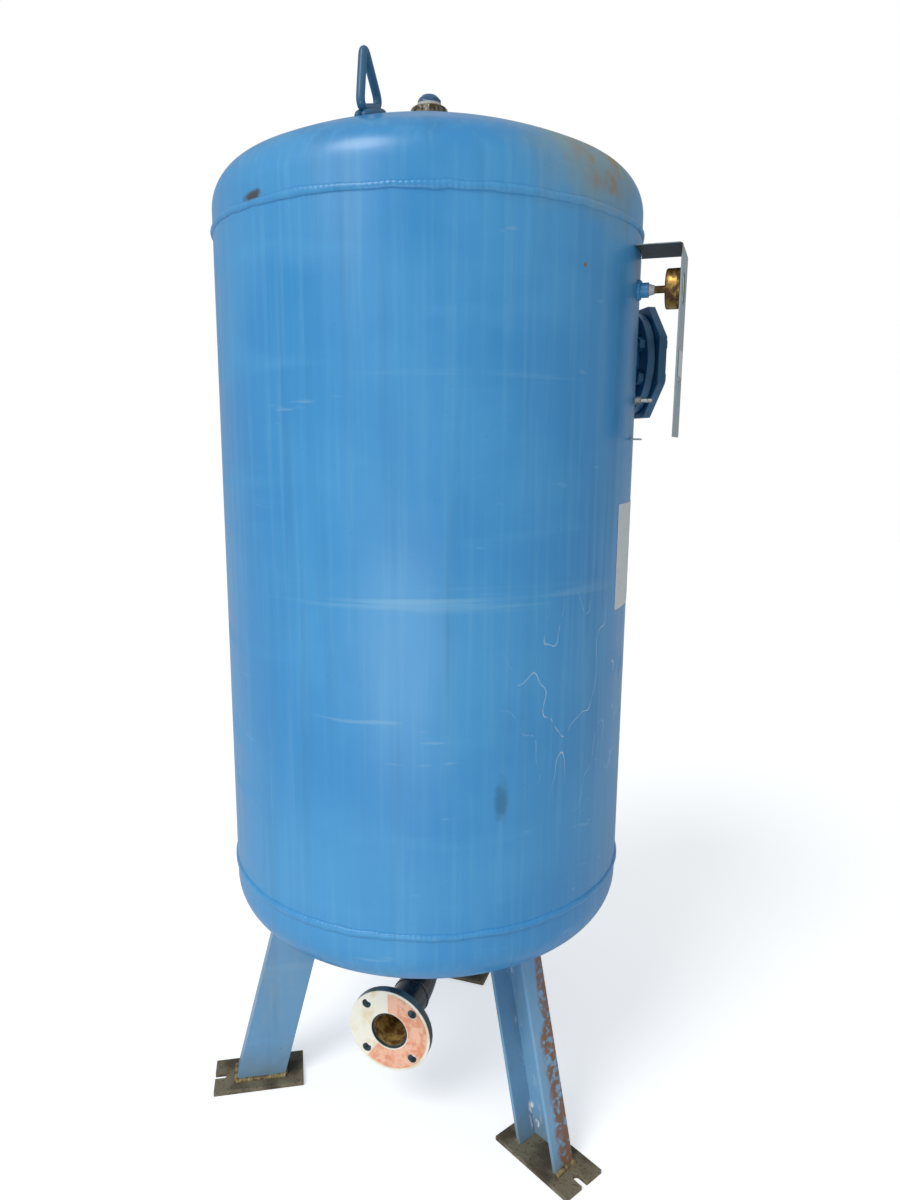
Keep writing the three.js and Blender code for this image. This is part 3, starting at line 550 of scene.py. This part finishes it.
plate_rust = Finish("rusty_plate", shade(96, 78, 54), 0.75, metallic=0.25)
mottle = plate_rust.step(plate_rust.grain(18, detail=8.0), 0.38, 0.64)
pits = plate_rust.step(plate_rust.grain(230, detail=4.0), 0.56, 0.70)
plate_rust.vary("Base Color",
    plate_rust.blend(pits * 0.7, plate_rust.blend(mottle, shade(132, 122, 98), shade(88, 78, 62)),
        shade(52, 44, 36)))
plate_rust.vary("Roughness", 0.62 + mottle * 0.25)
plate_rust.relief(mottle * 0.6 + pits, 0.0009)

gold_weld = Finish("site_weld_rust", shade(150, 112, 54), 0.6, metallic=0.3)
burn = gold_weld.step(gold_weld.grain(80, detail=6.0), 0.40, 0.62)
gold_weld.vary("Base Color", gold_weld.blend(burn, shade(158, 140, 98), shade(96, 78, 54)))
gold_weld.relief(burn, 0.0008)



def under_head(radius):
    """The height of the bottom head's skin at a distance from the axis: its crown arc, then its knuckle arc."""
    crown_z = SKIRT - crown_drop + np.sqrt(CROWN ** 2 - np.minimum(radius, 0.35) ** 2)
    knuckle_z = SKIRT + np.sqrt(np.maximum(KNUCKLE ** 2 - np.maximum(radius - SHELL_R + KNUCKLE, 0) ** 2, 0))
    return LOW_SEAM - np.where(radius < CROWN * (SHELL_R - KNUCKLE) / (CROWN - KNUCKLE), crown_z, knuckle_z)


for label, azimuth in (("left", -60), ("right", 60), ("rear", 180)):
    dressed("leg_" + label, leg_paint, 0.0016)
    dressed("foot_plate_" + label, plate_rust, 0.0012)
    leg = np.array([v.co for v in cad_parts["leg_" + label].data.vertices])
    sole = leg[leg[:, 2] < 0.0106] - AXIS
    outward = at(azimuth, 1, 0) - AXIS
    tangent = np.cross((0, 0, 1), outward)
    reach_, side_ = sole @ outward, sole @ tangent
    inner, outer = reach_.min() - 0.001, reach_.max() + 0.001
    toe, web = sorted((side_.min(), side_.max()), key=abs, reverse=True)
    web += 0.001 * np.sign(web)
    for part, (r0, t0), (r1, t1) in (("outer", (outer, toe), (outer, web)), ("web", (outer, web), (inner, web)),
        ("inner", (inner, web), (inner, toe))):
        s = np.linspace(0, 1, 90)[:, None]
        line = AXIS + outward * (r0 + (r1 - r0) * s) + tangent * (t0 + (t1 - t0) * s) + np.array([0, 0, 0.0102])
        sweep(f"foot_weld_{label}_{part}", line, dome(0.010, 0.0050, 9, 0.002), gold_weld, (0, 0, 1), False,
            ripples(90, 0.006, 0.1, 0.18, 0.2))
        rise = np.array([0, 0, 1.0]) * math.cos(SPLAY) - outward * math.sin(SPLAY)
        top = line.copy()
        for _ in range(12):
            top = line + ((under_head(np.linalg.norm((top - AXIS)[:, :2], axis=1)) - line[:, 2]) / rise[2])[:,
                None] * rise
        sweep(f"leg_weld_{label}_{part}", top, dome(0.012, 0.0050, 9, 0.003), leg_paint, (0, 0, -1), False,
            ripples(90, 0.007, 0.1, 0.15, 0.2))

# ---------------------------------------------------------------- inlet
# A 65A stub leaves the bottom head; a long-radius elbow and a short spool bring it forward to a bolted
# flange whose old salmon joint sheet still sticks to half of its face. The bore is rusty gold.
PIPE_R, BORE_R, ELBOW_R, INLET_Z = 0.03815, 0.03395, 0.0953, 0.212
pipe_black = Finish("varnished_pipe", shade(24, 27, 30), 0.25, coat_weight=0.5, coat_roughness=0.15)
smear = pipe_black.step(pipe_black.grain(26, detail=6.0), 0.50, 0.70)
pipe_black.vary("Base Color", pipe_black.blend(smear * 0.6, shade(20, 24, 28), shade(66, 74, 80)))
pipe_black.vary("Roughness", 0.20 + smear * 0.30)
pipe_black.relief(pipe_black.grain(120, detail=4.0), 0.0006)

pipe_pale = enamel("stub_enamel", shade(74, 130, 172), shade(190, 190, 176), shade(40, 80, 108), 1.4)
cream = pipe_pale.near(at(-60, 0.045, 0.345), 0.055, 0.03, 40.0)
pipe_pale.vary("Base Color", pipe_pale.blend(cream * 0.8, pipe_pale.tone, shade(198, 196, 180)))

bore_rust = Finish("bore_rust", shade(146, 116, 62), 0.6, metallic=0.35)
crust = bore_rust.step(bore_rust.grain(60, detail=7.0), 0.38, 0.62)
bore_rust.vary("Base Color", bore_rust.blend(crust, shade(214, 180, 104), shade(128, 92, 48)))
bore_rust.relief(crust, 0.0012)


def pipe_run(name, path, upright, finish, label=None):
    """A pipe as two skins carried along one path, the outside and the bore, joined by flat rims at both ends."""
    path = np.array(path, float)
    ahead = np.gradient(path, axis=0)
    ahead /= np.linalg.norm(ahead, axis=1, keepdims=True)
    side = np.broadcast_to(np.array(upright, float), path.shape)
    lift = np.cross(side, ahead)
    a = np.radians(np.linspace(0, 360, 72, endpoint=False))
    spin = np.cos(a)[None, :, None] * side[:, None] + np.sin(a)[None, :, None] * lift[:, None]
    skins = np.concatenate([path[:, None] + PIPE_R * spin, (path[:, None] + BORE_R * spin)[::-1]])
    piece = put(name, skins.reshape(-1, 3), quads(2 * len(path), 72, True, True), finish)
    piece.data.materials.append(bore_rust.material)
    inside = np.repeat(np.arange(2 * len(path)) >= len(path), 72).astype(np.int32)
    piece.data.polygons.foreach_set("material_index", inside[: len(piece.data.polygons)])
    if label:
        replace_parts(piece, label)
    return piece


low_box, high_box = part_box("inlet_stub")
pipe_run("inlet_stub_pipe", AXIS + np.array([[0, 0, z] for z in np.linspace(low_box.z, high_box.z, 8)]),
    (1, 0, 0), pipe_pale, "inlet_stub")
bend = np.radians(np.linspace(0, 90, 33))
elbow = (AXIS + np.stack([0 * bend, -ELBOW_R + ELBOW_R * np.cos(bend),
            INLET_Z + ELBOW_R - ELBOW_R * np.sin(bend)], -1))
pipe_run("inlet_elbow_pipe", elbow, (1, 0, 0), pipe_black, "inlet_elbow")
low_box, high_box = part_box("inlet_spool")
pipe_run("inlet_spool_pipe", np.array([[AXIS[0], y, INLET_Z] for y in np.linspace(high_box.y, low_box.y, 8)]),
    (1, 0, 0), pipe_black, "inlet_spool")

flange_steel = Finish("flange_steel", shade(134, 148, 148), 0.42, metallic=0.55)
y_place = flange_steel.node("ShaderNodeSeparateXYZ", {0: flange_steel.place}, out="Y")
face = flange_steel.step(y_place, -0.2460, -0.2474)
smudge = flange_steel.step(flange_steel.grain(30, detail=6.0), 0.42, 0.64)
rim = flange_steel.blend(smudge, shade(120, 136, 136), shade(84, 98, 100))
tone = flange_steel.blend(face, rim, flange_steel.blend(smudge, shade(252, 247, 230), shade(240, 226, 194)))
flange_steel.vary("Base Color", tone)
flange_steel.vary("Metallic", 0.6 - face * 0.55)
flange_steel.vary("Roughness", 0.38 + face * 0.25 + smudge * 0.1)
flange_steel.relief(smudge, 0.0005)
dressed("inlet_flange", flange_steel, 0.0010)

joint_sheet = Finish("salmon_joint_sheet", shade(222, 150, 118), 0.8)
tear = joint_sheet.step(joint_sheet.grain(70, detail=7.0), 0.42, 0.66)
joint_sheet.vary("Base Color", joint_sheet.blend(tear, shade(252, 198, 168), shade(238, 158, 122)))
joint_sheet.relief(tear, 0.0008)
dressed("inlet_gasket_remnant", joint_sheet, 0.0003)

low_box, high_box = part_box("inlet_flange")
turned("weld_inlet_flange",
    [(0.0379, 0.0), (0.0445, 0.0002), (0.0435, 0.003), (0.0405, 0.0055), (0.0383, 0.0075), (0.0379, 0.006)],
    pipe_black, origin=(AXIS[0], high_box.y, INLET_Z), along=(0, 1, 0), segments=144, ripple=lambda a, r,
    t: 0.0010 * np.abs(np.sin(a * 18)) * (r > 0.039))
line, out = ring(AXIS + [0, 0, INLET_Z + ELBOW_R + 0.00015], (0, 0, 1), PIPE_R - 0.0003, 480)
sweep("weld_elbow_top", line, dome(0.009, 0.0024, 7, 0.001), pipe_black, out, True, ripples(480, 0.006, 0.24))
line, out = ring((AXIS[0], AXIS[1] - ELBOW_R - 0.0002, INLET_Z), (0, 1, 0), PIPE_R - 0.0003, 480)
sweep("weld_elbow_front", line, dome(0.009, 0.0024, 7, 0.001), pipe_black, out, True, ripples(480, 0.006, 0.24))
stub_z = LOW_SEAM - CROWN_RISE
turned("weld_stub", [(0.0379, stub_z - 0.008), (0.0405, stub_z - 0.006), (0.0455, stub_z - 0.0015),
        (0.0475, stub_z + 0.003), (0.0379, stub_z + 0.003)], tank_paint, segments=144, ripple=lambda a, r,
    t: 0.0010 * np.abs(np.sin(a * 18)) * (r > 0.039))

# ---------------------------------------------------------------- handhole
# A 100A neck with a bolted flange and an octagonal blank cover on a rubber joint, all painted with the tank's blue; the
# flange, the cover and the bolts take a darker copy of that blue as painted shade.
HAND_AZIMUTH, HAND_Z = 120, 1.538
for label, paint in (("handhole_neck", tank_paint), ("handhole_flange", blue_paint_darkened_as_shade),
    ("handhole_cover", blue_paint_darkened_as_shade)):
    dressed(label, paint, 0.0012)
black_rubber = Finish("black_rubber", shade(30, 30, 31), 0.7)
bloomed = black_rubber.step(black_rubber.grain(90, detail=5.0), 0.45, 0.7)
black_rubber.vary("Base Color", black_rubber.blend(bloomed, shade(28, 28, 29), shade(58, 58, 56)))
black_rubber.relief(bloomed, 0.0003)
dressed("handhole_gasket", black_rubber, 0.0004)


for k in range(1, 9):
    dressed(f"handhole_bolt_{k}", blue_paint_darkened_as_shade, 0.0007)
    dressed(f"handhole_nut_{k}", blue_paint_darkened_as_shade, 0.0008)

def saddle(azimuth, z, radius, count=240):
    """The line where a round neck meets the shell: sideways radius * sin, upward radius * cos, on the shell's cylinder."""
    a = np.linspace(0, 2 * np.pi, count, endpoint=False)
    outward, sideways = at(azimuth, 1, 0) - AXIS, np.cross((0, 0, 1), at(azimuth, 1, 0) - AXIS)
    y = radius * np.sin(a)
    x = np.sqrt(SHELL_R ** 2 - y ** 2)
    points = AXIS + x[:, None] * outward + y[:,
        None] * sideways + np.stack([0 * a, 0 * a, z + radius * np.cos(a)], -1)
    return points, outward + 0 * points


line, out = saddle(HAND_AZIMUTH, HAND_Z, 0.0585)
sweep("weld_handhole_neck", line, dome(0.011, 0.0060, 9), tank_paint, out, True,
    ripples(240, 0.007, 0.36, 0.15, 0.12))

# ---------------------------------------------------------------- pressure gauge
# A small brass-cased dial gauge screwed into a welded boss through white tape; its case has turned brown.
# The hand turns on the dial's middle.
GAUGE_Z = 1.647
old_brass = Finish("old_brass", shade(150, 120, 62), 0.38, metallic=0.8)
stain = old_brass.step(old_brass.grain(50, detail=6.0), 0.38, 0.62)
old_brass.vary("Base Color", old_brass.blend(stain, shade(176, 142, 74), shade(84, 60, 34)))
old_brass.vary("Roughness", 0.28 + stain * 0.4)
old_brass.vary("Metallic", 0.9 - stain * 0.5)
old_brass.relief(stain, 0.0004)
for label in ("gauge_case", "gauge_bezel", "gauge_bourdon_tube", "gauge_movement"):
    dressed(label, old_brass, 0.0006)
dressed("gauge_boss", tank_paint, 0.0008)
line, out = saddle(90, GAUGE_Z, 0.0145)
sweep("weld_gauge_boss", line, dome(0.008, 0.0065, 9), tank_paint, out, True,
    ripples(240, 0.006, 0.09, 0.15, 0.15))
marks = []
for k in range(31):
    turn_ = math.radians(225 - 9 * k)
    reach, width, height = (0.0268, 0.0012, 0.0044) if k % 5 == 0 else (0.0280, 0.0005, 0.0026)
    spoke, rim = (np.array([0, math.cos(turn_), math.sin(turn_)]),
        np.array([0, -math.sin(turn_), math.cos(turn_)]))
    hub = at(90, 0.46286, GAUGE_Z)
    marks.append([hub + spoke * r_ + rim * w_ + np.array([d_, 0, 0]) for d_ in (0, 0.00012) for r_,
            w_ in ((reach, -width / 2), (reach + height, -width / 2), (reach + height, width / 2),
                (reach, width / 2))])
corners = np.array(marks).reshape(-1, 3)
sides = [(0, 3, 2, 1), (4, 5, 6, 7), (0, 1, 5, 4), (1, 2, 6, 5), (2, 3, 7, 6), (3, 0, 4, 7)]
ink = Finish("dial_ink", shade(24, 24, 26), 0.5)
ink.vary("Base Color",
    ink.blend(ink.step(ink.grain(300), 0.4, 0.7) * 0.4, shade(22, 22, 24), shade(52, 52, 54)))
put("dial_marks", corners, [tuple(8 * k + c for c in side_) for k in range(31) for side_ in sides], ink)
dressed("gauge_tape", tape, 0.0003)
dressed("gauge_stem", old_brass, 0.0004)
for label, colour in (("gauge_dial", shade(228, 228, 220)), ("gauge_pointer", shade(20, 20, 22))):
    face_finish = Finish("finish_" + label, colour, 0.45)
    fade = face_finish.step(face_finish.grain(60, detail=4.0), 0.4, 0.7)
    face_finish.vary("Base Color", face_finish.blend(fade * 0.3, colour, shade(178, 172, 150)))
    dressed(label, face_finish, 0.00015, body="pointer" if label == "gauge_pointer" else "vessel")
# The window is plain flat glass under the bezel, with a thin film of dust.
clear = Finish("clear_window", (0.95, 0.98, 0.98, 1), 0.03, transmission_weight=1.0, ior=1.45)
film = clear.step(clear.grain(70, detail=4.0), 0.45, 0.75)
clear.vary("Roughness", 0.02 + film * 0.08)
dressed("gauge_window", clear, 0)

# ---------------------------------------------------------------- gauge guard
# A bent flat plate that shields the gauge and its stem, with a round sight hole, a slot and a blank plate.
guard_paint = enamel("guard_enamel", shade(124, 146, 152), shade(164, 178, 180), shade(58, 76, 84), 1.5)
guard_z = guard_paint.node("ShaderNodeSeparateXYZ", {0: guard_paint.place}, out="Z")
guard_x = guard_paint.node("ShaderNodeSeparateXYZ", {0: guard_paint.place}, out="X")
low_box, high_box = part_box("guard_plate")
# Painted shade: inside the outer face and just under the top, down to about 30 mm from it, the plate is coloured
# near-black and made rough, standing in for the shade under its top flange.
painted_underside_shade = guard_paint.step(guard_x, high_box.x - 0.0012, high_box.x - 0.0022) * guard_paint.step(guard_z,
    high_box.z - 0.0012, high_box.z - 0.0022) * guard_paint.step(guard_z, high_box.z - 0.030,
    high_box.z - 0.012)
guard_rust = guard_paint.step(guard_paint.grain(46, (1, 1, 0.3), 6.0, 3.0), 0.56, 0.68)
tone = guard_paint.blend(guard_rust * 0.7, guard_paint.tone, shade(138, 112, 84))
guard_paint.vary("Base Color", guard_paint.blend(painted_underside_shade * 0.92, tone, shade(20, 38, 48)))
guard_paint.vary("Roughness", guard_paint.dull + painted_underside_shade * 0.6)
dressed("guard_plate", guard_paint, 0.0007)
blank = Finish("blank_plate", shade(206, 210, 210), 0.5)
worn = blank.step(blank.grain(120, detail=6.0), 0.5, 0.75)
blank.vary("Base Color", blank.blend(worn * 0.25, shade(212, 216, 216), shade(160, 164, 160)))
blank.vary("Roughness", 0.42 + worn * 0.3)
dressed("guard_nameplate", blank, 0.0002)
dressed("shell_label", blank, 0.0001)

# ---------------------------------------------------------------- earth stud, tab and bladder
# A zinc-plated earthing stud and nut, a small welded tab under the guard, and inside the vessel the
# rubber bladder with its clamp ring.
zinc = Finish("dull_zinc", shade(160, 166, 164), 0.45, metallic=0.8)
spangle = zinc.step(zinc.grain(150, detail=4.0), 0.4, 0.65)
zinc.vary("Base Color", zinc.blend(spangle, shade(176, 180, 178), shade(122, 128, 126)))
zinc.vary("Roughness", 0.36 + spangle * 0.2)
for label in ("earth_stud", "earth_nut", "bladder_ring"):
    dressed(label, zinc, 0.0003)
dressed("support_tab", guard_paint, 0.0005)
dressed("bladder", black_rubber, 0)
